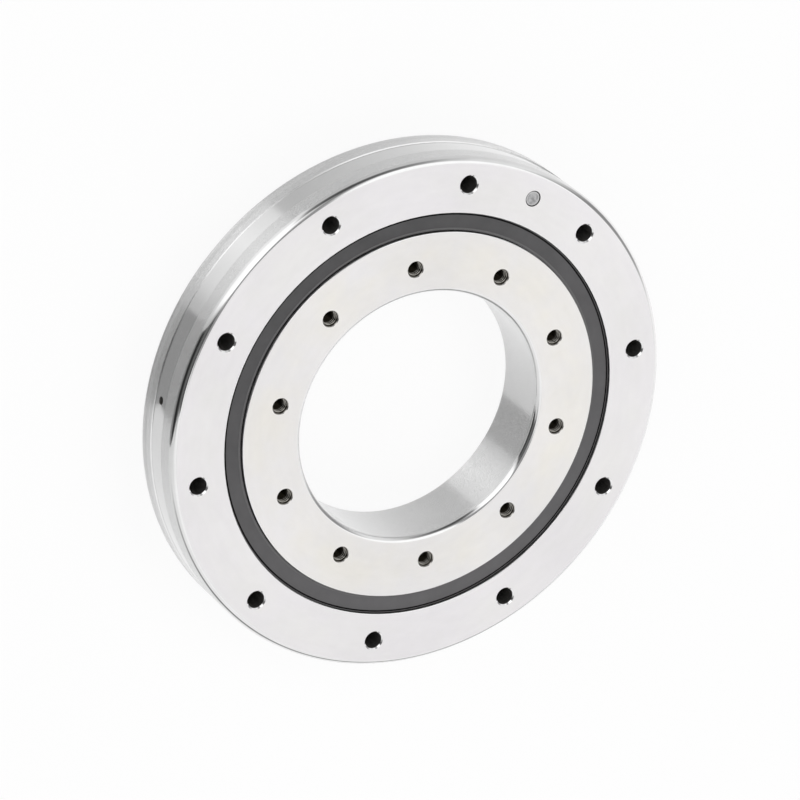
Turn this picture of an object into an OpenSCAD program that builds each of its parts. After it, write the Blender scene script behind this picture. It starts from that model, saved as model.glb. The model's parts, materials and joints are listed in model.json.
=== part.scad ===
// Crossed roller bearing: two one-piece rings with mounting holes, a seal on each side,
// and rollers that stand crossed at right angles to their neighbours in a V raceway.
// The axis is Z and the origin is the centre of the bearing. The plain mouths of the
// outer ring's holes face +Z, their counterbores face -Z, and the loading plug is on +X.

/* [Rings] */
// Bore of the inner ring
bore_d = 80; // [72:0.5:88]
// Outside diameter of the outer ring
outer_d = 165; // [150:0.5:180]
// Width of both rings
width = 22; // [21:0.5:28]
// Radial gap between the two rings beside the rollers
ring_gap = 2; // [1.2:0.1:2.6]
// Corner chamfer at the bore
bore_chamfer = 1.1; // [0.6:0.05:1.6]
// Corner chamfer at the rim
rim_chamfer = 1.4; // [0.6:0.05:1.8]
// Edge break on both sides of a corner chamfer
edge_break = 0.3; // [0.1:0.05:0.4]
// Chamfer at the edges beside the seals
gap_chamfer = 0.15; // [0.05:0.05:0.6]
// Turn of the inner ring from the outer ring's holes, in degrees
inner_turn = -3.4; // [-18:0.1:18]

/* [Rim groove] */
// Width of the shallow groove round the rim
rim_groove_w = 7.6; // [5:0.1:9]
// Depth of the rim groove
rim_groove_depth = 0.3; // [0.2:0.05:0.8]
// Slope of each groove wall, measured along the axis
rim_groove_slope = 0.3; // [0.05:0.05:0.5]

/* [Mounting holes] */
// Number of holes in the outer ring
outer_hole_count = 10; // [8:1:12]
// How far the outer ring's bolt circle lies outside the middle of the ring
outer_hole_shift = 1.25; // [0.5:0.05:2]
// Through holes in the outer ring
outer_hole_d = 5.5; // [4.5:0.1:6.5]
// Chamfer at the mouths of the outer ring's holes
outer_hole_chamfer = 0.4; // [0.1:0.05:0.8]
// Counterbore for the screw heads
counterbore_d = 9.5; // [8:0.1:10.5]
// Depth of the counterbores
counterbore_depth = 5.4; // [3:0.1:8]
// Number of tapped holes in the inner ring
inner_hole_count = 10; // [8:1:12]
// How far the inner ring's bolt circle lies inside the middle of the ring
inner_hole_shift = 2; // [0.5:0.05:3]
// Nominal diameter of the tapped holes
inner_hole_d = 5; // [4:0.1:6]
// Chamfer at the mouths of the tapped holes
inner_hole_chamfer = 0.2; // [0.1:0.05:0.6]

/* [Rollers and raceways] */
// How far the circle of the roller centres lies outside the middle between bore and rim
pitch_shift = 0.75; // [-0.5:0.05:2]
// Diameter of a roller
roller_d = 8; // [7:0.1:8.6]
// Number of rollers, always even
roller_count = 40; // [36:2:42]
// How much shorter a roller is than its diameter
roller_end_play = 0.4; // [0.1:0.05:1]
// Chamfer at the roller ends
roller_chamfer = 0.5; // [0.2:0.05:1]
// Running clearance between a roller and its raceways
race_clearance = 0.15; // [0.1:0.01:0.3]
// Width of the relief groove at the bottom of each raceway
race_relief_w = 1.6; // [0.8:0.1:3]
// Depth of the relief groove below the point of the V
race_relief_depth = 0.3; // [0.1:0.05:1]

/* [Spacers] */
// Length of a spacer along the pitch circle
spacer_len = 4.4; // [3.4:0.1:5.2]
// How much narrower a spacer is than the roller diameter
spacer_play = 0.4; // [0.3:0.05:1]
// Clearance between a spacer's saddles and the rollers
spacer_clearance = 0.1; // [0.08:0.01:0.25]
// How much is rounded off each corner of a spacer
spacer_trim = 0.7; // [0.3:0.05:1.2]

/* [Seals] */
// Depth of the seal recess below the ring faces
seal_recess_depth = 3.5; // [2.6:0.1:4.5]
// Radial width of the seal's seat in the outer ring
seal_seat_w = 2.2; // [1.6:0.1:3]
// Radial width of the step below the seal in the inner ring
seal_step_w = 1.85; // [1.2:0.05:3]
// How far the seal's face lies below the ring faces
seal_inset = 1; // [0.3:0.1:1.6]
// Clearance of the seal in its seat
seal_clearance = 0.05; // [0.02:0.01:0.1]
// Running gap between the seal's lip and the inner ring
seal_lip_gap = 0.2; // [0.15:0.05:0.5]
// Running gap under the seal, above the inner ring's step
seal_under_gap = 0.4; // [0.3:0.05:0.8]
// Width of the bead along the seal's outer edge
seal_bead_w = 0.4; // [0.3:0.05:0.8]
// Chamfer at both edges of the seal's face
seal_edge_chamfer = 0.1; // [0.05:0.05:0.25]
// Width of the fine groove beside the bead
seal_line_w = 0.45; // [0.2:0.05:0.6]
// Depth of the fine groove beside the bead
seal_line_depth = 0.6; // [0.2:0.05:0.8]
// Width of the seal's sloping lip
seal_lip_w = 0.8; // [0.4:0.05:1.2]
// How far the lip slopes down to its edge
seal_lip_drop = 0.15; // [0.05:0.05:0.5]
// Width of the rib that holds the seal in the outer ring
seal_rib_w = 0.8; // [0.5:0.05:1]
// Depth of the rib that holds the seal in the outer ring
seal_rib_depth = 0.5; // [0.3:0.05:0.8]

/* [Loading plug and oil hole] */
// How much wider the plug is than a roller that passes through tilted
plug_margin = 0.2; // [0.1:0.05:0.6]
// Clearance of the plug in its hole
plug_clearance = 0.05; // [0.02:0.01:0.1]
// Diameter of the pin that locks the plug
pin_d = 5; // [3:0.1:6]
// Clearance of the pin in its hole
pin_clearance = 0.02; // [0.01:0.01:0.05]
// How far the pin's end lies below the ring face
pin_inset = 0.2; // [0.1:0.05:0.5]
// Thickness of the ring left below the pin
pin_floor = 2.5; // [1.5:0.1:4]
// Chamfer at the pin's ends
pin_chamfer = 0.3; // [0.1:0.05:0.6]
// Oil hole through the rim
oil_hole_d = 2.5; // [1.5:0.1:3.5]
// Place of the oil hole, in outer hole pitches from the plug
oil_hole_step = 3; // [1:1:5]

/* [Hidden] */
$fn = 120;
// How far a cutting shape reaches past the face that it cuts
cut = 1;

half_w = width / 2;
bore_r = bore_d / 2;
rim_r = outer_d / 2;
pitch_r = (bore_r + rim_r) / 2 + pitch_shift;
outer_land_r = pitch_r + ring_gap / 2;
inner_land_r = pitch_r - ring_gap / 2;
outer_bolt_r = (rim_r + outer_land_r) / 2 + outer_hole_shift;
inner_bolt_r = (bore_r + inner_land_r) / 2 - inner_hole_shift;

// The raceways of both rings form a square on its point, with its centre on the pitch circle
race_reach = (roller_d / 2 + race_clearance) * sqrt(2);
race_mouth_z = race_reach - ring_gap / 2;
relief_half = race_relief_w / 2;
relief_reach = race_reach + race_relief_depth;

roller_len = roller_d - roller_end_play;
roller_pitch = 360 / roller_count;
roller_slant = 45;
spacer_side = roller_d - spacer_play;
spacer_corner_r = spacer_side / sqrt(2) - spacer_trim;

seal_seat_r = outer_land_r + seal_seat_w;
seal_step_r = inner_land_r - seal_step_w;
seal_floor_z = half_w - seal_recess_depth;
seal_face_z = half_w - seal_inset;
seal_rib_z = (seal_floor_z + seal_face_z - seal_rib_w) / 2;
seal_rim_r = seal_seat_r - seal_clearance;
seal_line_r = seal_rim_r - seal_bead_w - seal_line_w;
seal_lip_r = seal_step_r + seal_lip_gap;

plug_d = roller_d * sqrt(2) + plug_margin;
pin_top_z = half_w - pin_inset;
pin_foot_z = pin_floor - half_w;

function two_digits(index) = str(index < 10 ? "0" : "", index);
function roller_name(index) = str("roller_", two_digits(index));
function roller_angle(index) = (index - 1) * roller_pitch;
function roller_tilt(index) = index % 2 == 1 ? roller_slant : -roller_slant;

// A chamfered corner with broken edges: vertex is the sharp corner, and along_a and
// along_b are the unit directions of the two edges that leave it
function broken_corner(vertex, along_a, along_b, chamfer) =
    let (slope = (along_b - along_a) / norm(along_b - along_a))
    [
        vertex + along_a * (chamfer + edge_break),
        vertex + along_a * chamfer + slope * edge_break,
        vertex + along_b * chamfer - slope * edge_break,
        vertex + along_b * (chamfer + edge_break)
    ];

// A section of which only the half above the middle plane is given
function mirrored(upper) = concat(
    upper,
    [for (i = [len(upper) - 1:-1:0]) [upper[i].x, -upper[i].y]]
);

function outer_ring_section() = mirrored(concat(
    [
        [pitch_r + relief_reach, relief_half],
        [pitch_r + race_reach - relief_half, relief_half],
        [outer_land_r, race_mouth_z],
        [outer_land_r, seal_floor_z],
        [seal_seat_r, seal_floor_z],
        [seal_seat_r, seal_rib_z],
        [seal_seat_r + seal_rib_depth, seal_rib_z],
        [seal_seat_r + seal_rib_depth, seal_rib_z + seal_rib_w],
        [seal_seat_r, seal_rib_z + seal_rib_w],
        [seal_seat_r, half_w - gap_chamfer],
        [seal_seat_r + gap_chamfer, half_w]
    ],
    broken_corner([rim_r, half_w], [-1, 0], [0, -1], rim_chamfer),
    [
        [rim_r, rim_groove_w / 2],
        [rim_r - rim_groove_depth, rim_groove_w / 2 - rim_groove_slope]
    ]
));

function inner_ring_section() = mirrored(concat(
    [
        [pitch_r - relief_reach, relief_half],
        [pitch_r - race_reach + relief_half, relief_half],
        [inner_land_r, race_mouth_z],
        [inner_land_r, seal_floor_z],
        [seal_step_r, seal_floor_z],
        [seal_step_r, half_w - gap_chamfer],
        [seal_step_r - gap_chamfer, half_w]
    ],
    broken_corner([bore_r, half_w], [1, 0], [0, -1], bore_chamfer)
));

// The seal's face at its outer edge: the bead and the fine groove beside it
function seal_bead() = [
    [seal_rim_r, seal_face_z - seal_edge_chamfer],
    [seal_rim_r - seal_edge_chamfer, seal_face_z],
    [seal_line_r + seal_line_w, seal_face_z],
    [seal_line_r + seal_line_w, seal_face_z - seal_line_depth],
    [seal_line_r, seal_face_z - seal_line_depth],
    [seal_line_r, seal_face_z]
];

// The seal's lip, which slopes down towards the inner ring
function seal_lip() = [
    [seal_lip_r + seal_lip_w, seal_face_z],
    [seal_lip_r + seal_edge_chamfer, seal_face_z - seal_lip_drop],
    [seal_lip_r, seal_face_z - seal_lip_drop - seal_edge_chamfer],
    [seal_lip_r, seal_floor_z + seal_under_gap]
];

function seal_section() = concat(
    [
        [outer_land_r, seal_floor_z + seal_under_gap],
        [outer_land_r, seal_floor_z],
        [seal_rim_r, seal_floor_z],
        [seal_rim_r, seal_rib_z + seal_clearance],
        [seal_rim_r + seal_rib_depth, seal_rib_z + seal_clearance],
        [seal_rim_r + seal_rib_depth, seal_rib_z + seal_rib_w - seal_clearance],
        [seal_rim_r, seal_rib_z + seal_rib_w - seal_clearance]
    ],
    seal_bead(),
    seal_lip()
);

// The outer ring as turned, before any hole is drilled
module outer_ring_blank() {
    rotate_extrude() polygon(outer_ring_section());
}

module outer_screw_hole() {
    hole_r = outer_hole_d / 2;
    head_r = counterbore_d / 2;
    rotate_extrude()
        polygon([
            [0, -half_w - cut],
            [head_r, -half_w - cut],
            [head_r, counterbore_depth - half_w],
            [hole_r, counterbore_depth - half_w],
            [hole_r, half_w - outer_hole_chamfer],
            [hole_r + outer_hole_chamfer + cut, half_w + cut],
            [0, half_w + cut]
        ]);
}

module inner_screw_hole() {
    hole_r = inner_hole_d / 2;
    mouth_r = hole_r + inner_hole_chamfer + cut;
    rotate_extrude()
        polygon([
            [0, -half_w - cut],
            [mouth_r, -half_w - cut],
            [hole_r, inner_hole_chamfer - half_w],
            [hole_r, half_w - inner_hole_chamfer],
            [mouth_r, half_w + cut],
            [0, half_w + cut]
        ]);
}

module plug_shape(radius) {
    translate([pitch_r, 0, 0])
        rotate([0, 90, 0])
            cylinder(r = radius, h = rim_r - pitch_r + cut);
}

module pin_hole() {
    translate([outer_bolt_r, 0, pin_foot_z])
        cylinder(d = pin_d + 2 * pin_clearance, h = width);
}

module oil_hole() {
    rotate([0, 0, oil_hole_step * 360 / outer_hole_count])
        translate([pitch_r, 0, 0])
            rotate([0, 90, 0])
                cylinder(d = oil_hole_d, h = rim_r - pitch_r + cut);
}

module outer_ring() {
    color("gainsboro")
        difference() {
            outer_ring_blank();
            for (i = [0:outer_hole_count - 1])
                rotate([0, 0, (i + 0.5) * 360 / outer_hole_count])
                    translate([outer_bolt_r, 0, 0])
                        outer_screw_hole();
            plug_shape(plug_d / 2 + plug_clearance);
            pin_hole();
            oil_hole();
        }
}

module inner_ring() {
    color("gainsboro")
        rotate([0, 0, inner_turn])
            difference() {
                rotate_extrude() polygon(inner_ring_section());
                for (i = [0:inner_hole_count - 1])
                    rotate([0, 0, i * 360 / inner_hole_count])
                        translate([inner_bolt_r, 0, 0])
                            inner_screw_hole();
            }
}

module front_seal() {
    color("dimgray")
        rotate_extrude() polygon(seal_section());
}

module rear_seal() {
    color("dimgray")
        mirror([0, 0, 1])
            rotate_extrude() polygon(seal_section());
}

// The plug closes the hole that the rollers go in by, and carries on the raceway and the rim
module loading_plug() {
    color("lightgray")
        difference() {
            intersection() {
                outer_ring_blank();
                plug_shape(plug_d / 2);
            }
            pin_hole();
        }
}

module plug_pin() {
    pin_r = pin_d / 2;
    color("darkgray")
        translate([outer_bolt_r, 0, 0])
            rotate_extrude()
                polygon([
                    [0, pin_foot_z],
                    [pin_r - pin_chamfer, pin_foot_z],
                    [pin_r, pin_foot_z + pin_chamfer],
                    [pin_r, pin_top_z - pin_chamfer],
                    [pin_r - pin_chamfer, pin_top_z],
                    [0, pin_top_z]
                ]);
}

module roller(index) {
    roller_r = roller_d / 2;
    half_len = roller_len / 2;
    color("silver")
        rotate([0, 0, roller_angle(index)])
            translate([pitch_r, 0, 0])
                rotate([0, roller_tilt(index), 0])
                    rotate_extrude()
                        polygon([
                            [0, -half_len],
                            [roller_r - roller_chamfer, -half_len],
                            [roller_r, roller_chamfer - half_len],
                            [roller_r, half_len - roller_chamfer],
                            [roller_r - roller_chamfer, half_len],
                            [0, half_len]
                        ]);
}

// A block in the square of the raceways, with a saddle for the roller on each side
module spacer(tilt_before) {
    difference() {
        translate([pitch_r, 0, 0])
            intersection() {
                rotate([0, roller_slant, 0])
                    cube([spacer_side, spacer_len, spacer_side], center = true);
                rotate([90, 0, 0])
                    cylinder(r = spacer_corner_r, h = spacer_len + cut, center = true);
            }
        for (side = [-1, 1])
            rotate([0, 0, side * roller_pitch / 2])
                translate([pitch_r, 0, 0])
                    rotate([0, -side * tilt_before, 0])
                        cylinder(d = roller_d + 2 * spacer_clearance, h = 2 * roller_d, center = true);
    }
}

module spacers() {
    color("wheat")
        for (index = [1:roller_count])
            rotate([0, 0, roller_angle(index) + roller_pitch / 2])
                spacer(roller_tilt(index));
}

outer_ring();
inner_ring();
front_seal();
rear_seal();
loading_plug();
plug_pin();
spacers();
for (index = [1:roller_count])
    roller(index);
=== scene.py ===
"""Looks of a crossed roller bearing: ground and turned steel, rubber seals, tapped holes."""
import json
import math

import bmesh
import bpy
from mathutils import Matrix, Vector


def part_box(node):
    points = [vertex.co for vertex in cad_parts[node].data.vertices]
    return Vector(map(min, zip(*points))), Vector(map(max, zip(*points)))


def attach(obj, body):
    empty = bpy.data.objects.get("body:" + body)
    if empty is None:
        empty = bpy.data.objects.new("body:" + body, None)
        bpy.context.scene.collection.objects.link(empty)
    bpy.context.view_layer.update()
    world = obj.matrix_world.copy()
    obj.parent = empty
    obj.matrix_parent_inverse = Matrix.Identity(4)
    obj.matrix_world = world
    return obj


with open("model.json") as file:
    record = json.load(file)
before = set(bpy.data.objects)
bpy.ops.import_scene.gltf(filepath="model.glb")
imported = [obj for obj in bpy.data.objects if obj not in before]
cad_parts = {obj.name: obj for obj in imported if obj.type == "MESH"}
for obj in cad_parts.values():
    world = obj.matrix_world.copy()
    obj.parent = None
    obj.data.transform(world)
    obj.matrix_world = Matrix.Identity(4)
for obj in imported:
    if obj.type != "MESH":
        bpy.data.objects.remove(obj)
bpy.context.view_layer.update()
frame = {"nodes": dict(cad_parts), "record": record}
nodes = frame["nodes"]
mounts = {mount["name"]: mount for mount in frame["record"]["mounts"]}

# One millimetre, since the frame is in metres
MM = 0.001

# Sizes from the frame
RIM_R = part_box("outer_ring")[1].x
HALF_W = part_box("outer_ring")[1].z
BORE_R = mounts["bore"]["dims"]["r_mm"] * MM
PIN_R = (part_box("plug_pin")[1].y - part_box("plug_pin")[0].y) / 2
OUTER_BOLTS = mounts["outer_bolts"]["dims"]
INNER_BOLTS = mounts["inner_bolts"]["dims"]
OUTER_BOLT_R = OUTER_BOLTS["pcd_mm"] * MM / 2
INNER_BOLT_R = INNER_BOLTS["pcd_mm"] * MM / 2
PITCH_R = (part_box("roller_01")[0].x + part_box("roller_01")[1].x) / 2

# Turn of the inner ring's holes from +X
INNER_TURN = math.radians(-3.4)

# Where the finishes of the rings change: reaches are radial, from the pitch circle or a bolt circle,
# and depths are from the nearer face
RACE_REACH = 6.3 * MM
RACE_HALF_W = 5 * MM
SEAT_REACH = 4.5 * MM
SEAT_DEPTH = 3.6 * MM
FACE_DEPTH = 0.01 * MM
CORNER_DEPTH = 2 * MM
GROOVE_CLEAR = 0.2 * MM
OUTER_HOLE_REACH = 5.3 * MM
INNER_HOLE_REACH = 3 * MM
PIN_HOLE_CLEAR = 0.1 * MM

# How a polygon faces: the part of its normal along the axis on flats, walls and bevels, and the part away
# from the axis that walls of cross holes stay under
FLAT = 0.99
UPRIGHT = 0.1
BEVELLED = (0.6, 0.8)
SIDEWAYS = 0.3

# Rounded corners: the wall's radius, where the rounding starts on the chamfer, and where it has run out
RIM_CORNER = (RIM_R, 0.7 * MM, 2.05 * MM)
BORE_CORNER = (BORE_R, 0.55 * MM, 1.75 * MM)

# Shading leans thin edges further towards the axis: what the axial part of their normals is multiplied by
BEVEL_LIFT = 2.0
MOUTH_LIFT = 1.3
TAPPED_MOUTH_LIFT = 1.5

# The fine groove round each seal, by radius and by depth below the faces: it is painted near black as shade
SEAL_GROOVE_R = (64.2 * MM, 65.3 * MM)
SEAL_GROOVE_DEPTH = (1.03 * MM, 1.8 * MM)

# Where the sloping lip of each seal ends
SEAL_LIP_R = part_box("inner_ring")[1].x - 0.4 * MM

# The direction across the bearing in which the seals' colour changes, as painted light and shade from one
# side to the other
SEAL_SHADE_ACROSS = (-0.6, -0.8)

# Metric thread of the tapped holes
THREAD_PITCH = 0.8 * MM
THREAD_DEPTH = 0.43 * MM
THREAD_ROOT_W = 0.7 * MM
THREAD_CREST_W = 0.2 * MM
THREAD_SINK = 0.02 * MM
THREAD_END = 0.35 * MM
THREAD_STEPS = 28
# Least height of the tapered ends, as a part of the whole, and how many turns late the last taper ends
THREAD_LEAST = 0.04
THREAD_LATE = 0.05

# Depths in the tapped holes over which the painted shade sets in, the crests' rubbed brightening and painted
# highlight run out, and the mouth's rounding runs out
HOLE_SHADE_DEPTH = (0.2 * MM, 1.2 * MM)
RUB_AND_HIGHLIGHT_DEPTH = (1.2 * MM, 3.4 * MM)
MOUTH_DEPTH = (0.25 * MM, 0.8 * MM)
# Colour of the painted shade deep in the tapped holes
HOLE_SHADE_COLOUR = (0.020, 0.017, 0.012)

# Grinding marks of the turned surfaces: their size, the roughness of the dull ones among them,
# and how sharply these stand apart
GRAIN_LENGTH = 0.25 * MM
GRAIN_WIDTH = 0.06 * MM
DULL_ROUGHNESS = 0.7
DULL_SOFTNESS = 0.02
# A band of the rim that has more dull marks: its lowest and highest z, its soft edges, and how many more
RIM_DULL_BAND = (-8.3 * MM, -6.5 * MM)
BAND_EDGE = 0.2 * MM
BAND_GAIN = 0.08

# Camera: it looks down at the front face, rolled so that the bearing stands tilted in the picture
CAMERA_POS = Vector((222.340, 817.834, 1154.261)) * MM
CAMERA_FORWARD = Vector((-0.155142, -0.570269, -0.806674))
CAMERA_UP = Vector((0.878443, 0.293942, -0.376744))
CAMERA_LENS = 213.05
SENSOR_W = 36

# Studio light by azimuth from +X in degrees: what the rim and the bore mirror from below
LOW_LIGHT = [
    (-180, 0.78), (-149, 0.90), (-120, 0.96), (-80, 1.0), (-50, 0.89), (-12, 0.68), (13, 0.57), (37, 0.51),
    (44.5, 0.54), (46.5, 0.81), (66, 0.94), (79, 0.84), (85, 0.80), (91, 0.71), (99, 0.52),
    (140, 0.72), (165, 0.74), (180, 0.78),
]
# What the chamfers mirror, from above the horizon
MID_LIGHT = [
    (-180, 0.86), (-100, 0.92), (-76, 0.88), (-68, 0.34), (-52, 0.26), (-43, 0.55), (-34, 0.84), (-16, 0.78),
    (-6, 0.54), (1, 0.34), (10, 0.20), (19, 0.12), (28, 0.08), (38, 0.10), (45.3, 0.22),
    (52, 1.12), (88, 1.12), (95, 0.55), (137, 0.70), (149, 0.78), (180, 0.86),
]
# Where that light reaches further down
LOWER_EDGE = [(-180, 0), (-78, 0), (-68, 0.3), (-46, 0.3), (-36, 0), (180, 0)]
# What the round of the corners mirrors, higher up
TOP_LIGHT = [
    (-180, 0.95), (-95, 0.97), (-55, 1.12), (4, 1.12), (13, 0.80), (23, 0.28), (30, 0.22),
    (36, 0.50), (41, 0.78), (52, 1.3), (88, 1.3), (96, 0.35), (140, 0.35), (150, 0.88), (180, 0.95),
]
# Heights over which each of these passes into the next, from 0 at the horizon to 1 at the zenith
LOW_TO_MID = (0.0, 0.22)
MID_TO_TOP = (0.58, 0.70)
# A dark strip about the horizon: how much of it shows by azimuth, its level, and its two soft edges
STRIP_SHARE = [(-180, 0.7), (-168, 0.9), (-116, 0.9), (-100, 0), (150, 0), (165, 0.5), (180, 0.7)]
STRIP_LIGHT = 0.05
STRIP_BOTTOM = (-0.22, -0.10)
STRIP_TOP = (0.10, 0.20)
# A dark patch about the zenith: its level, the height where it sets in, and its soft edges as slopes from
# the zenith, with +X as east and +Y as north
ZENITH_LIGHT = 0.3
ZENITH_START = (0.86, 0.92)
ZENITH_WEST = (-0.32, -0.20)
ZENITH_SOUTH = (-0.38, -0.24)
ZENITH_NORTH = (0.08, 0.24)
ZENITH_SOUTH_EAST = (-0.40, -0.31)

# A dark screen to one side: its distance, its edges as rows of elevation, right and left azimuth
# in degrees, and its levels at the heights given as parts of the distance
SCREEN_DISTANCE = 0.6
SCREEN_EDGES = [(-80, 101, 145), (43, 95.7, 129.5), (62, 95, 148)]
SCREEN_LEVELS = [
    (-0.85, 0.37), (-0.74, 0.27), (-0.18, 0.25), (0.05, 0.02), (0.38, 0.03), (0.52, 0.13), (0.70, 0.13),
    (0.85, 0.05),
]
SCREEN_STEPS = 12

# Floor, a dark pad between it and the rings as painted shade, and a wall round it
FLOOR_Z = -HALF_W - 0.05 * MM
FLOOR_R = 30
FLOOR_LIGHT = 0.86
PAD_Z = FLOOR_Z + 0.01 * MM
PAD_R = (41.5 * MM, 80.5 * MM)
PAD_SEGMENTS = 96
BACKDROP_R = 28
BACKDROP_LIGHT = 0.98

# Sockets of Mix nodes: factor, first and second input, for levels and for colours
LEVEL_INPUTS = (0, 2, 3)
COLOUR_INPUTS = (0, 6, 7)
COLOUR_OUTPUT = 2


# Shader helpers

def new_material(name):
    """A material that holds only a shader: the material, its tree and the shader."""
    material = bpy.data.materials.new(name)
    material.use_nodes = True
    tree = material.node_tree
    tree.nodes.clear()
    output = tree.nodes.new("ShaderNodeOutputMaterial")
    shader = tree.nodes.new("ShaderNodeBsdfPrincipled")
    tree.links.new(shader.outputs["BSDF"], output.inputs["Surface"])
    return material, tree, shader


def grey(level):
    return (level, level, level)


def shade_of(colour, factor):
    return tuple(min(1, channel * factor) for channel in colour)


def feed(tree, socket, value):
    """Gives a socket what another one puts out, or a colour or a number."""
    if isinstance(value, bpy.types.NodeSocket):
        tree.links.new(value, socket)
    elif isinstance(value, tuple):
        socket.default_value = (*value, 1)
    else:
        socket.default_value = value


def math_node(tree, operation, *values):
    node = tree.nodes.new("ShaderNodeMath")
    node.operation = operation
    for socket, value in zip(node.inputs, values):
        feed(tree, socket, value)
    return node.outputs[0]


def product(tree, first, *others):
    for other in others:
        first = math_node(tree, "MULTIPLY", first, other)
    return first


def object_place(tree):
    """Place on the piece, which moves with it."""
    return tree.nodes.new("ShaderNodeTexCoord").outputs["Object"]


def split_xyz(tree, vector):
    node = tree.nodes.new("ShaderNodeSeparateXYZ")
    tree.links.new(vector, node.inputs[0])
    return node.outputs


def object_xyz(tree):
    return split_xyz(tree, object_place(tree))


def combine(tree, *values):
    node = tree.nodes.new("ShaderNodeCombineXYZ")
    for socket, value in zip(node.inputs, values):
        feed(tree, socket, value)
    return node.outputs[0]


def noise(tree, vector, scale, detail, roughness):
    node = tree.nodes.new("ShaderNodeTexNoise")
    tree.links.new(vector, node.inputs["Vector"])
    node.inputs["Scale"].default_value = scale
    node.inputs["Detail"].default_value = detail
    node.inputs["Roughness"].default_value = roughness
    return node.outputs["Fac"]


def remap(tree, value, low, high, from_low=0.3, from_high=0.7):
    """Runs from low to high as value does from from_low to from_high, by default the span of a noise."""
    node = tree.nodes.new("ShaderNodeMapRange")
    node.inputs["From Min"].default_value = from_low
    node.inputs["From Max"].default_value = from_high
    node.inputs["To Min"].default_value = low
    node.inputs["To Max"].default_value = high
    tree.links.new(value, node.inputs["Value"])
    return node.outputs["Result"]


def blend_levels(tree, factor, first, second):
    node = tree.nodes.new("ShaderNodeMix")
    for index, value in zip(LEVEL_INPUTS, (factor, first, second)):
        feed(tree, node.inputs[index], value)
    return node.outputs[0]


def blend_colours(tree, factor, first, second):
    node = tree.nodes.new("ShaderNodeMix")
    node.data_type = "RGBA"
    for index, value in zip(COLOUR_INPUTS, (factor, first, second)):
        feed(tree, node.inputs[index], value)
    return node.outputs[COLOUR_OUTPUT]


def multiply_colour(tree, colour, factor):
    node = tree.nodes.new("ShaderNodeMix")
    node.data_type = "RGBA"
    node.blend_type = "MULTIPLY"
    node.clamp_result = True
    for index, value in zip(COLOUR_INPUTS, (1, colour, grey(factor))):
        feed(tree, node.inputs[index], value)
    return node.outputs[COLOUR_OUTPUT]


def set_surface(tree, shader, colour, roughness, metallic=0):
    tree.links.new(colour, shader.inputs["Base Color"])
    tree.links.new(roughness, shader.inputs["Roughness"])
    shader.inputs["Metallic"].default_value = metallic


def bump(tree, shader, height, strength, distance, normal=None):
    node = tree.nodes.new("ShaderNodeBump")
    if normal is not None:
        tree.links.new(normal, node.inputs["Normal"])
    node.inputs["Strength"].default_value = strength
    node.inputs["Distance"].default_value = distance
    tree.links.new(height, node.inputs["Height"])
    tree.links.new(node.outputs["Normal"], shader.inputs["Normal"])


def radius_node(tree, x, y):
    square = math_node(tree, "MULTIPLY_ADD", x, x, math_node(tree, "MULTIPLY", y, y))
    return math_node(tree, "SQRT", square)


def depth_node(tree, z):
    """Depth below the nearer face."""
    return math_node(tree, "SUBTRACT", HALF_W, math_node(tree, "ABSOLUTE", z))


def corner_normal(tree, corner):
    """Normal that swings round from the rim or the bore to the face, as on a polished corner.

    With it comes the distance from that wall.
    """
    edge_r, start, reach = corner
    outward = 1 if edge_r > PITCH_R else -1
    x, y, z = object_xyz(tree)
    radius = radius_node(tree, x, y)
    off_wall = math_node(tree, "MULTIPLY", math_node(tree, "SUBTRACT", edge_r, radius), outward)
    to_face = remap(tree, off_wall, 0, math.pi / 4, start, reach)
    to_wall = remap(tree, depth_node(tree, z), 0, math.pi / 4, start, reach)
    lean = math_node(tree, "ADD", math_node(tree, "SUBTRACT", to_face, to_wall), math.pi / 4)
    away = math_node(tree, "MULTIPLY", math_node(tree, "COSINE", lean), outward)
    level = math_node(tree, "DIVIDE", away, radius)
    up = math_node(tree, "MULTIPLY", math_node(tree, "SINE", lean), math_node(tree, "SIGN", z))
    normal = combine(tree, math_node(tree, "MULTIPLY", x, level), math_node(tree, "MULTIPLY", y, level), up)
    turn = tree.nodes.new("ShaderNodeVectorTransform")
    turn.vector_type = "NORMAL"
    turn.convert_from = "OBJECT"
    turn.convert_to = "WORLD"
    tree.links.new(normal, turn.inputs[0])
    return turn.outputs[0], off_wall


def lifted_normal(tree, lift=1.0, rise=0.0):
    """Normal leant further towards the axis: its part along the axis times lift, plus rise."""
    geometry = tree.nodes.new("ShaderNodeNewGeometry")
    x, y, z = split_xyz(tree, geometry.outputs["Normal"])
    unit = tree.nodes.new("ShaderNodeVectorMath")
    unit.operation = "NORMALIZE"
    tree.links.new(combine(tree, x, y, math_node(tree, "MULTIPLY_ADD", z, lift, rise)), unit.inputs[0])
    return unit.outputs[0]


def turning_lines(tree, along_axis, across, around=1.0):
    """Coordinates that run slowly round the axis and fast across the cut, so noise becomes lathe lines."""
    x, y, z = object_xyz(tree)
    radius = radius_node(tree, x, y)
    east = math_node(tree, "MULTIPLY", math_node(tree, "DIVIDE", x, radius), around)
    north = math_node(tree, "MULTIPLY", math_node(tree, "DIVIDE", y, radius), around)
    cut = z if along_axis else radius
    return combine(tree, east, north, math_node(tree, "MULTIPLY", cut, across))


def use_turning_tangent(tree, shader, amount):
    """Stretches highlights across the lathe lines."""
    tangent = tree.nodes.new("ShaderNodeTangent")
    tangent.direction_type = "RADIAL"
    tangent.axis = "Z"
    tree.links.new(tangent.outputs["Tangent"], shader.inputs["Tangent"])
    shader.inputs["Anisotropic"].default_value = amount
    shader.inputs["Anisotropic Rotation"].default_value = 0.25


# Materials

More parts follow.
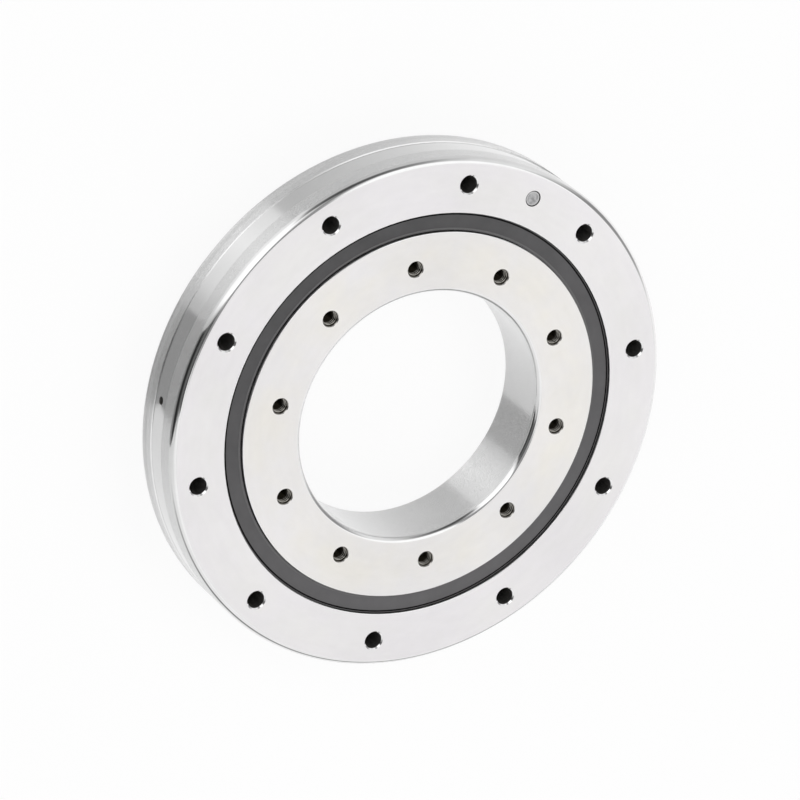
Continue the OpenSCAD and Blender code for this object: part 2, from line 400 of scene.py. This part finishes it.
def ground_face_steel(name, clean, oily, inner_r, outer_r, corner):
    """Flat ground faces: pale, blotched by wiping, with a film of oil mostly in the middle."""
    material, tree, shader = new_material(name)
    place = object_place(tree)
    x, y, z = split_xyz(tree, place)
    wide = noise(tree, place, 17, 2, 0.5)
    blotches = noise(tree, place, 75, 4, 0.6)
    smears = noise(tree, turning_lines(tree, False, 420, 9), 1.0, 3, 0.55)
    patches = noise(tree, place, 48, 3, 0.55)
    off_middle = math_node(tree, "SUBTRACT", radius_node(tree, x, y), (inner_r + outer_r) / 2)
    to_edge = math_node(tree, "DIVIDE", math_node(tree, "ABSOLUTE", off_middle), (outer_r - inner_r) / 2)
    oil = product(tree, remap(tree, patches, 0, 1, 0.36, 0.62), remap(tree, to_edge, 1, 0.25, 0.2, 1))
    shade = 0
    for pattern, share in ((wide, 0.5), (blotches, 0.32), (smears, 0.18)):
        shade = math_node(tree, "MULTIPLY_ADD", remap(tree, pattern, 0, 1), share, shade)
    film = blend_colours(tree, oil, clean, oily)
    dark = multiply_colour(tree, film, 0.96)
    light = multiply_colour(tree, film, 1.115)
    normal, off_wall = corner_normal(tree, corner)
    start, reach = corner[1:]
    polish = remap(tree, off_wall, 0.4, 1, 1.5 * start, reach)
    roughness = product(tree, remap(tree, blotches, 0.38, 0.46), polish)
    set_surface(tree, shader, blend_colours(tree, shade, dark, light), roughness, 1)
    lines = noise(tree, turning_lines(tree, False, 9000), 1.0, 2, 0.6)
    bump(tree, shader, lines, 0.03, 0.02 * MM, normal)
    return material


def turned_steel(name, base, radius, bright_roughness, dull_from, corner=None, dull_band=None):
    """Rim and bore: ground bright, with fine duller marks round the axis.

    dull_from is the noise level above which a mark is dull, so a lower one gives more dull marks.
    dull_band, where given, is the lowest and highest z of a band with more of them.
    """
    material, tree, shader = new_material(name)
    place = object_place(tree)
    grain = noise(tree, turning_lines(tree, True, 1 / GRAIN_WIDTH, radius / GRAIN_LENGTH), 1.0, 1, 0.5)
    level = grain
    if dull_band is not None:
        low, high = dull_band
        half = (high - low) / 2
        x, y, z = split_xyz(tree, place)
        off_band = math_node(tree, "ABSOLUTE", math_node(tree, "SUBTRACT", z, (low + high) / 2))
        in_band = remap(tree, off_band, BAND_GAIN, 0, half - BAND_EDGE, half + BAND_EDGE)
        level = math_node(tree, "ADD", grain, in_band)
    dull = remap(tree, level, 0, 1, dull_from - DULL_SOFTNESS, dull_from + DULL_SOFTNESS)
    cloud = noise(tree, place, 90, 3, 0.5)
    colour = blend_colours(tree, remap(tree, cloud, 0, 1), shade_of(base, 0.975), shade_of(base, 1.01))
    bright = remap(tree, cloud, bright_roughness * 0.92, bright_roughness * 1.08)
    set_surface(tree, shader, colour, blend_levels(tree, dull, bright, DULL_ROUGHNESS), 1)
    use_turning_tangent(tree, shader, 0.5)
    normal = None if corner is None else corner_normal(tree, corner)[0]
    bump(tree, shader, grain, 0.02, 0.01 * MM, normal)
    return material


def chamfer_steel(name, base, roughness, corner=None, lift=None):
    """Chamfers, bevels and the mouths of holes: cut bright, so they mirror sharply.

    corner rounds the edges of those at the rim and the bore. lift leans the others further towards
    the axis, so that they catch more of the light from above.
    """
    material, tree, shader = new_material(name)
    cloud = noise(tree, object_place(tree), 120, 3, 0.5)
    fine = noise(tree, turning_lines(tree, True, 9000), 1.0, 2, 0.5)
    colour = blend_colours(tree, remap(tree, cloud, 0, 1), shade_of(base, 0.96), shade_of(base, 1.03))
    set_surface(tree, shader, colour, remap(tree, fine, 0.7 * roughness, 1.3 * roughness), 1)
    normal = None
    if corner is not None:
        normal = corner_normal(tree, corner)[0]
    elif lift is not None:
        normal = lifted_normal(tree, lift)
    bump(tree, shader, fine, 0.03, 0.01 * MM, normal)
    return material


def seat_steel_painted_shade():
    """Walls beside the seals: turned, dull with oil, and darker in colour as painted shade between the rings
    and the seals.
    """
    material, tree, shader = new_material("seat_steel_painted_shade")
    film = noise(tree, object_place(tree), 400, 3, 0.5)
    colour = blend_colours(tree, remap(tree, film, 0, 1), grey(0.42), (0.56, 0.56, 0.555))
    set_surface(tree, shader, colour, remap(tree, film, 0.28, 0.40), 1)
    lines = noise(tree, turning_lines(tree, True, 9000), 1.0, 2, 0.5)
    bump(tree, shader, lines, 0.05, 0.01 * MM)
    return material


def drilled_steel():
    """Walls of the screw holes: dull, with drilling marks drawn out round the hole."""
    material, tree, shader = new_material("drilled_steel")
    x, y, z = object_xyz(tree)
    drawn_out = combine(tree, math_node(tree, "MULTIPLY", x, 0.2), math_node(tree, "MULTIPLY", y, 0.2), z)
    marks = noise(tree, drawn_out, 4000, 2, 0.6)
    colour = blend_colours(tree, remap(tree, marks, 0, 1), (0.26, 0.255, 0.25), (0.40, 0.39, 0.38))
    set_surface(tree, shader, colour, remap(tree, marks, 0.50, 0.62), 1)
    bump(tree, shader, marks, 0.25, 0.03 * MM)
    return material


def tapped_steel(name, bare, rubbed_and_lit=None):
    """Tapped holes: bare at the mouths, darker further in as painted shade, and brighter on the crests near
    the mouth, as rubbed steel and as a painted highlight.
    """
    material, tree, shader = new_material(name)
    place = object_place(tree)
    x, y, z = split_xyz(tree, place)
    depth = depth_node(tree, z)
    stain = noise(tree, place, 1500, 3, 0.6)
    # Painted shade: darker further into the hole, with a ragged edge from the noise
    hole_shade = math_node(tree, "ADD", remap(tree, depth, 0, 1, *HOLE_SHADE_DEPTH), remap(tree, stain, -0.12, 0.12))
    colour = blend_colours(tree, hole_shade, bare, HOLE_SHADE_COLOUR)
    # The crests are brighter near the mouth: rubbed steel and a painted highlight, running out with depth
    if rubbed_and_lit is not None:
        crest = tree.nodes.new("ShaderNodeAttribute")
        crest.attribute_name = "crest"
        on_crest = remap(tree, crest.outputs["Fac"], 0, 1, 0.66, 0.92)
        rub_and_highlight = product(tree, on_crest, remap(tree, depth, 1, 0, *RUB_AND_HIGHLIGHT_DEPTH))
        colour = blend_colours(tree, rub_and_highlight, colour, rubbed_and_lit)
    set_surface(tree, shader, colour, remap(tree, stain, 0.24, 0.36), 1)
    rise = product(tree, remap(tree, depth, 1, 0, *MOUTH_DEPTH), math_node(tree, "SIGN", z))
    bump(tree, shader, stain, 0.15, 0.02 * MM, lifted_normal(tree, rise=rise))
    return material


def seal_rubber(name, first, last):
    """Face of the seals: dull, with random blotches and painted light and shade that change from one side of
    the bearing to the other.
    """
    material, tree, shader = new_material(name)
    place = object_place(tree)
    x, y, z = split_xyz(tree, place)
    grain = noise(tree, place, 4200, 2, 0.6)
    bloom = noise(tree, place, 160, 4, 0.6)
    east, north = SEAL_SHADE_ACROSS
    across = math_node(tree, "MULTIPLY_ADD", x, east, math_node(tree, "MULTIPLY", y, north))
    # Painted light and shade: the colour runs from first on the side towards +X and +Y to last on the other
    # side, mixed with random blotches
    side_shade = math_node(tree, "MULTIPLY_ADD", remap(tree, across, 0, 1, -PITCH_R, PITCH_R), 0.75,
                    math_node(tree, "MULTIPLY", remap(tree, bloom, 0, 1), 0.25))
    set_surface(tree, shader, blend_colours(tree, side_shade, first, last), remap(tree, grain, 0.52, 0.66))
    shader.inputs["Specular IOR Level"].default_value = 0.5
    bump(tree, shader, grain, 0.25, 0.02 * MM)
    return material


def seal_groove_painted_shade():
    """The groove round a seal: painted near black as shade."""
    material, tree, shader = new_material("seal_groove_painted_shade")
    grain = noise(tree, object_place(tree), 1800, 3, 0.6)
    colour = blend_colours(tree, remap(tree, grain, 0, 1), grey(0.006), (0.014, 0.013, 0.012))
    set_surface(tree, shader, colour, remap(tree, grain, 0.6, 0.8))
    shader.inputs["Specular IOR Level"].default_value = 0.12
    bump(tree, shader, grain, 0.2, 0.02 * MM)
    return material


def pin_steel():
    """End of the pin: cut off, mottled, and burnished towards its edge."""
    material, tree, shader = new_material("pin_steel_cut")
    place = object_place(tree)
    x, y, z = split_xyz(tree, place)
    grain = noise(tree, place, 2600, 3, 0.65)
    spots = noise(tree, place, 900, 3, 0.6)
    off_centre = radius_node(tree, math_node(tree, "SUBTRACT", x, OUTER_BOLT_R), y)
    burnish = remap(tree, off_centre, 0, 0.7, 0.66 * PIN_R, 0.84 * PIN_R)
    mottle = remap(tree, spots, 0, 1, 0.38, 0.62)
    colour = blend_colours(tree, mottle, (0.34, 0.34, 0.345), (0.58, 0.58, 0.585))
    colour = blend_colours(tree, burnish, colour, (0.76, 0.76, 0.765))
    set_surface(tree, shader, colour, remap(tree, grain, 0.38, 0.5), 1)
    bump(tree, shader, grain, 0.3, 0.03 * MM)
    return material


def pin_gap_shade():
    """Chamfer and side of the pin: painted near black as the shade of the gap round it."""
    material, tree, shader = new_material("pin_steel_edge_painted_shade")
    grain = noise(tree, object_place(tree), 2600, 3, 0.65)
    colour = blend_colours(tree, remap(tree, grain, 0, 1), grey(0.020), (0.050, 0.049, 0.048))
    set_surface(tree, shader, colour, remap(tree, grain, 0.5, 0.65))
    shader.inputs["Specular IOR Level"].default_value = 0.2
    bump(tree, shader, grain, 0.2, 0.02 * MM)
    return material


def polished_steel():
    """Rollers and raceways: hardened, superfinished and lightly oiled."""
    material, tree, shader = new_material("race_steel")
    place = object_place(tree)
    cloud = noise(tree, place, 300, 3, 0.5)
    fine = noise(tree, place, 5000, 2, 0.5)
    colour = blend_colours(tree, remap(tree, cloud, 0, 1), grey(0.70), (0.82, 0.82, 0.81))
    set_surface(tree, shader, colour, remap(tree, cloud, 0.10, 0.17), 1)
    bump(tree, shader, fine, 0.04, 0.01 * MM)
    return material


def spacer_resin():
    """Spacers: moulded, with faint lines of flow."""
    material, tree, shader = new_material("spacer_resin_moulded")
    place = object_place(tree)
    flow = noise(tree, place, 240, 4, 0.6)
    grain = noise(tree, place, 3800, 2, 0.5)
    colour = blend_colours(tree, remap(tree, flow, 0, 1), (0.60, 0.51, 0.35), (0.72, 0.64, 0.47))
    set_surface(tree, shader, colour, remap(tree, grain, 0.42, 0.55))
    bump(tree, shader, grain, 0.15, 0.02 * MM)
    return material


# Finishes of the pieces, in the order of their materials

FACE, TURNED, GROOVE, BEVEL, CORNER, MOUTH, HOLE, SEAT, RACE = range(9)
SEAL_FACE, SEAL_GROOVE, SEAL_LIP = range(3)
PIN_END, PIN_EDGE = range(2)
CREST, FLANK = range(2)


def radius_of(point):
    return math.hypot(point.x, point.y)


def surface_kind(polygon, bolt_r, hole_reach):
    """Which finish a polygon of a ring has, from where it lies and which way it faces."""
    centre = polygon.center
    slope = abs(polygon.normal.z)
    r = radius_of(centre)
    outward = abs(polygon.normal.x * centre.x + polygon.normal.y * centre.y) / r
    depth = HALF_W - abs(centre.z)
    at_wall = r > RIM_R - CORNER_DEPTH or r < BORE_R + CORNER_DEPTH
    if depth < FACE_DEPTH and slope > FLAT:
        return FACE
    if depth < CORNER_DEPTH and at_wall and slope > UPRIGHT:
        return CORNER
    if depth < CORNER_DEPTH and BEVELLED[0] < slope < BEVELLED[1]:
        return BEVEL if abs(r - PITCH_R) < SEAT_REACH else MOUTH
    if abs(r - bolt_r) < hole_reach:
        return HOLE
    if abs(r - PITCH_R) < SEAT_REACH and depth < SEAT_DEPTH:
        return SEAT
    if abs(r - PITCH_R) < RACE_REACH and abs(centre.z) < RACE_HALF_W:
        return RACE
    if depth > CORNER_DEPTH and outward < SIDEWAYS:
        return HOLE
    if depth > CORNER_DEPTH and slope > UPRIGHT:
        return BEVEL
    if depth > CORNER_DEPTH and PITCH_R < r < RIM_R - GROOVE_CLEAR:
        return GROOVE
    return TURNED if at_wall else SEAT


def seal_kind(polygon):
    r = radius_of(polygon.center)
    depth = HALF_W - abs(polygon.center.z)
    in_groove = SEAL_GROOVE_R[0] < r < SEAL_GROOVE_R[1]
    if in_groove and SEAL_GROOVE_DEPTH[0] < depth < SEAL_GROOVE_DEPTH[1]:
        return SEAL_GROOVE
    if r < SEAL_LIP_R and depth < SEAL_GROOVE_DEPTH[1]:
        return SEAL_LIP
    return SEAL_FACE


def dress(name, *materials):
    """Gives a node its materials, and returns its mesh."""
    mesh = nodes[name].data
    mesh.materials.clear()
    for material in materials:
        mesh.materials.append(material)
    return mesh


def dress_ring(name, materials, bolt_r, hole_reach):
    for polygon in dress(name, *materials).polygons:
        polygon.material_index = surface_kind(polygon, bolt_r, hole_reach)


def dress_seal(name, *materials):
    for polygon in dress(name, *materials).polygons:
        polygon.material_index = seal_kind(polygon)


def dress_pin(end, edge):
    """The pin, and the wall of the hole that it sits in, which runs through the ring and the plug."""
    for polygon in dress("plug_pin", end, edge).polygons:
        polygon.material_index = PIN_END if abs(polygon.normal.z) > FLAT else PIN_EDGE
    for name in ("outer_ring", "loading_plug"):
        mesh = nodes[name].data
        # The wall of the pin's hole takes the same painted shade of the gap
        mesh.materials.append(edge)
        for polygon in mesh.polygons:
            off_axis = math.hypot(polygon.center.x - OUTER_BOLT_R, polygon.center.y)
            if abs(off_axis - PIN_R) < PIN_HOLE_CLEAR and abs(polygon.normal.z) < UPRIGHT:
                polygon.material_index = len(mesh.materials) - 1


outer_face = ground_face_steel("outer_face_steel", (0.875, 0.857, 0.871), (0.872, 0.860, 0.855),
                               PITCH_R, RIM_R, RIM_CORNER)
inner_face = ground_face_steel("inner_face_steel", (0.872, 0.858, 0.858), (0.882, 0.860, 0.818),
                               BORE_R, PITCH_R, BORE_CORNER)
rim_steel = turned_steel("rim_steel", grey(0.86), RIM_R, 0.14, 0.515, RIM_CORNER, RIM_DULL_BAND)
rim_groove_steel = turned_steel("rim_groove_steel", grey(0.88), RIM_R, 0.12, 0.72)
bore_steel = turned_steel("bore_steel", grey(0.88), BORE_R, 0.14, 0.53, BORE_CORNER)
rim_corner_steel = chamfer_steel("rim_corner_steel", grey(0.89), 0.09, RIM_CORNER)
bore_corner_steel = chamfer_steel("bore_corner_steel", grey(0.89), 0.09, BORE_CORNER)
bevel = chamfer_steel("bevel_steel", grey(0.91), 0.22, lift=BEVEL_LIFT)
mouth = chamfer_steel("mouth_steel", grey(0.97), 0.14, lift=MOUTH_LIFT)
dull_mouth = chamfer_steel("dull_mouth_steel", (0.64, 0.625, 0.60), 0.2, lift=TAPPED_MOUTH_LIFT)
drilled = drilled_steel()
tapped = tapped_steel("tapped_steel", (0.34, 0.325, 0.295))
# Thread flanks: near black as painted shade, with the crests' painted highlight near the mouth
thread_flank = tapped_steel("thread_flank_steel", (0.05, 0.046, 0.038), (0.80, 0.77, 0.71))
seat_shade = seat_steel_painted_shade()
race_steel = polished_steel()
# Seal faces: painted shade, darker on the side towards +X and +Y
rubber = seal_rubber("seal_rubber_side_shaded", (0.076, 0.075, 0.077), (0.150, 0.146, 0.151))
# Seal lips: painted light, lighter on the side towards +X and +Y
lit_lip_rubber = seal_rubber("seal_lip_rubber_side_lit", (0.21, 0.208, 0.21), (0.14, 0.137, 0.14))
groove_shade = seal_groove_painted_shade()

OUTER_FINISHES = [
    outer_face, rim_steel, rim_groove_steel, bevel, rim_corner_steel, mouth, drilled, seat_shade, race_steel,
]
INNER_FINISHES = [
    inner_face, bore_steel, bore_steel, bevel, bore_corner_steel, dull_mouth, tapped, seat_shade, race_steel,
]
dress_ring("outer_ring", OUTER_FINISHES, OUTER_BOLT_R, OUTER_HOLE_REACH)
dress_ring("loading_plug", OUTER_FINISHES, OUTER_BOLT_R, OUTER_HOLE_REACH)
dress_ring("inner_ring", INNER_FINISHES, INNER_BOLT_R, INNER_HOLE_REACH)
dress_seal("front_seal", rubber, groove_shade, lit_lip_rubber)
dress_seal("rear_seal", rubber, groove_shade, lit_lip_rubber)
dress_pin(pin_steel(), pin_gap_shade())
dress("spacers", spacer_resin())
for name in nodes:
    if name.startswith("roller_"):
        dress(name, race_steel)


def add_object(name, builder, *materials):
    """Makes an object of a bmesh, which is then used up."""
    mesh = bpy.data.meshes.new(name)
    builder.to_mesh(mesh)
    builder.free()
    for material in materials:
        mesh.materials.append(material)
    added = bpy.data.objects.new(name, mesh)
    bpy.context.scene.collection.objects.link(added)
    return added


# Threads in the inner ring

def add_thread(builder, crest_layer, centre):
    """A helical ridge on the wall of one tapped hole, tapering out at both mouths."""
    wall_r = INNER_BOLTS["hole_r_mm"] * MM
    root_r = wall_r + THREAD_SINK
    start = -HALF_W + THREAD_END
    turns = (2 * HALF_W - 2 * THREAD_END) / THREAD_PITCH
    steps = int(turns * THREAD_STEPS)
    last = None
    for i in range(steps + 1):
        turn = i / THREAD_STEPS
        angle = 2 * math.pi * turn
        height = min(1.0, turn, turns - turn + THREAD_LATE)
        crest_r = wall_r - max(THREAD_LEAST, height) * THREAD_DEPTH
        z = start + turn * THREAD_PITCH
        section = [(root_r, -THREAD_ROOT_W / 2), (crest_r, -THREAD_CREST_W / 2),
                   (crest_r, THREAD_CREST_W / 2), (root_r, THREAD_ROOT_W / 2)]
        ring = [builder.verts.new((centre.x + r * math.cos(angle), centre.y + r * math.sin(angle), z + dz))
                for r, dz in section]
        ring[1][crest_layer] = ring[2][crest_layer] = 1
        if last is None:
            builder.faces.new(ring)
        else:
            for k in range(4):
                n = (k + 1) % 4
                face = builder.faces.new((last[k], last[n], ring[n], ring[k]))
                face.material_index = FLANK if k in (0, 2) else CREST
        last = ring
    builder.faces.new(last[::-1])


def make_threads():
    builder = bmesh.new()
    crest_layer = builder.verts.layers.float.new("crest")
    for i in range(INNER_BOLTS["count"]):
        angle = INNER_TURN + 2 * math.pi * i / INNER_BOLTS["count"]
        centre = Vector((INNER_BOLT_R * math.cos(angle), INNER_BOLT_R * math.sin(angle), 0))
        add_thread(builder, crest_layer, centre)
    bmesh.ops.recalc_face_normals(builder, faces=builder.faces)
    threads = add_object("tapped_threads", builder, tapped, thread_flank)
    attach(threads, "inner")


make_threads()


# Studio

def make_floor():
    """A wide white table that the metal doesn't mirror."""
    material, tree, shader = new_material("white_table")
    shader.inputs["Base Color"].default_value = (0.15, 0.15, 0.15, 1)
    shader.inputs["Roughness"].default_value = 0.9
    shader.inputs["Emission Color"].default_value = (1, 1, 1, 1)
    shader.inputs["Emission Strength"].default_value = FLOOR_LIGHT
    builder = bmesh.new()
    bmesh.ops.create_circle(builder, cap_ends=True, segments=64, radius=FLOOR_R)
    floor = add_object("floor", builder, material)
    floor.location.z = FLOOR_Z
    floor.visible_glossy = False


def pad_edge(builder, radius):
    angles = [2 * math.pi * i / PAD_SEGMENTS for i in range(PAD_SEGMENTS)]
    return [builder.verts.new((radius * math.cos(a), radius * math.sin(a), PAD_Z)) for a in angles]


def make_shade_pad():
    """A dark pad under the rings, a sheet of painted shade that closes the holes from below."""
    material, tree, shader = new_material("painted_shade_pad")
    shader.inputs["Base Color"].default_value = (0.05, 0.05, 0.05, 1)
    builder = bmesh.new()
    inner, outer = [pad_edge(builder, radius) for radius in PAD_R]
    for i in range(PAD_SEGMENTS):
        n = (i + 1) % PAD_SEGMENTS
        builder.faces.new((inner[i], outer[i], outer[n], inner[n]))
    pad = add_object("pad", builder, material)


def make_backdrop():
    """A white wall round the table, which only the camera sees."""
    material, tree, shader = new_material("white_wall")
    shader.inputs["Base Color"].default_value = (0, 0, 0, 1)
    shader.inputs["Emission Color"].default_value = (1, 1, 1, 1)
    shader.inputs["Emission Strength"].default_value = BACKDROP_LIGHT
    builder = bmesh.new()
    bmesh.ops.create_uvsphere(builder, u_segments=32, v_segments=16, radius=BACKDROP_R)
    backdrop = add_object("backdrop", builder, material)
    backdrop.visible_glossy = False
    backdrop.visible_diffuse = False
    backdrop.visible_transmission = False
    backdrop.visible_shadow = False


def ramp_levels(tree, place, stops):
    """Grey level by place, which runs from 0 to 1."""
    ramp = tree.nodes.new("ShaderNodeValToRGB")
    tree.links.new(place, ramp.inputs[0])
    elements = ramp.color_ramp.elements
    while len(elements) < len(stops):
        elements.new(0.5)
    for element, (position, level) in zip(elements, stops):
        element.position = position
        element.color = (level, level, level, 1)
    return ramp.outputs["Color"]


def light_ramp(tree, azimuth, stops):
    """Light level by azimuth; azimuth runs from 0 to 1 for -180 to 180 degrees."""
    return ramp_levels(tree, azimuth, [((degrees + 180) / 360, level) for degrees, level in stops])


def screen_rows():
    """Elevation, right and left azimuth of each row of the screen, from the bottom up."""
    rows = [SCREEN_EDGES[0]]
    for low, high in zip(SCREEN_EDGES, SCREEN_EDGES[1:]):
        for i in range(1, SCREEN_STEPS + 1):
            rows.append([a + i / SCREEN_STEPS * (b - a) for a, b in zip(low, high)])
    return rows


def make_screen():
    """A dark screen beside the table, seen only in the metal."""
    material, tree, shader = new_material("dark_screen")
    material.cycles.emission_sampling = "NONE"
    shader.inputs["Base Color"].default_value = (0, 0, 0, 1)
    shader.inputs["Specular IOR Level"].default_value = 0
    x, y, z = object_xyz(tree)
    height = remap(tree, z, 0, 1, -SCREEN_DISTANCE, SCREEN_DISTANCE)
    level = ramp_levels(tree, height, [((part + 1) / 2, level) for part, level in SCREEN_LEVELS])
    tree.links.new(level, shader.inputs["Emission Color"])
    shader.inputs["Emission Strength"].default_value = 1
    builder = bmesh.new()
    grid = []
    for elevation, right, left in screen_rows():
        across = SCREEN_DISTANCE * math.cos(math.radians(elevation))
        up = SCREEN_DISTANCE * math.sin(math.radians(elevation))
        azimuths = [math.radians(right + (left - right) * j / SCREEN_STEPS) for j in range(SCREEN_STEPS + 1)]
        grid.append([builder.verts.new((across * math.cos(a), across * math.sin(a), up)) for a in azimuths])
    for below, above in zip(grid, grid[1:]):
        for j in range(SCREEN_STEPS):
            builder.faces.new((below[j], below[j + 1], above[j + 1], above[j]))
    screen = add_object("screen", builder, material)
    screen.visible_camera = False
    screen.visible_diffuse = False
    screen.visible_transmission = False
    screen.visible_shadow = False


def make_world():
    world = bpy.data.worlds.new("studio")
    bpy.context.scene.world = world
    world.use_nodes = True
    world.cycles.sampling_method = "NONE"
    tree = world.node_tree
    tree.nodes.clear()
    output = tree.nodes.new("ShaderNodeOutputWorld")
    background = tree.nodes.new("ShaderNodeBackground")
    tree.links.new(background.outputs[0], output.inputs["Surface"])
    x, y, z = split_xyz(tree, tree.nodes.new("ShaderNodeTexCoord").outputs["Generated"])
    azimuth = remap(tree, math_node(tree, "ARCTAN2", y, x), 0, 1, -math.pi, math.pi)
    low = light_ramp(tree, azimuth, LOW_LIGHT)
    mid = light_ramp(tree, azimuth, MID_LIGHT)
    top = light_ramp(tree, azimuth, TOP_LIGHT)
    raised = math_node(tree, "ADD", z, light_ramp(tree, azimuth, LOWER_EDGE))
    lower = blend_colours(tree, remap(tree, raised, 0, 1, *LOW_TO_MID), low, mid)
    strip = product(tree, remap(tree, z, 0, 1, *STRIP_BOTTOM), remap(tree, z, 1, 0, *STRIP_TOP),
                    light_ramp(tree, azimuth, STRIP_SHARE))
    lower = blend_colours(tree, strip, lower, grey(STRIP_LIGHT))
    upper = blend_colours(tree, remap(tree, z, 0, 1, *MID_TO_TOP), lower, top)
    east = math_node(tree, "DIVIDE", x, z)
    north = math_node(tree, "DIVIDE", y, z)
    patch = product(tree, remap(tree, z, 0, 1, *ZENITH_START),
                    remap(tree, math_node(tree, "SUBTRACT", north, east), 0, 1, *ZENITH_SOUTH_EAST),
                    remap(tree, east, 0, 1, *ZENITH_WEST),
                    remap(tree, north, 0, 1, *ZENITH_SOUTH),
                    remap(tree, north, 1, 0, *ZENITH_NORTH))
    light = blend_colours(tree, patch, upper, grey(ZENITH_LIGHT))
    tree.links.new(light, background.inputs["Color"])


def make_camera():
    data = bpy.data.cameras.new("camera")
    data.sensor_width = SENSOR_W
    data.lens = CAMERA_LENS
    data.clip_start = 0.05
    data.clip_end = 100
    camera = bpy.data.objects.new("camera", data)
    bpy.context.scene.collection.objects.link(camera)
    right = CAMERA_FORWARD.cross(CAMERA_UP)
    turn = Matrix((right, CAMERA_UP, -CAMERA_FORWARD)).transposed()
    camera.matrix_world = Matrix.Translation(CAMERA_POS) @ turn.to_4x4()
    bpy.context.scene.camera = camera


make_floor()
make_shade_pad()
make_backdrop()
make_screen()
make_world()
make_camera()
bpy.context.scene.view_settings.view_transform = "Standard"
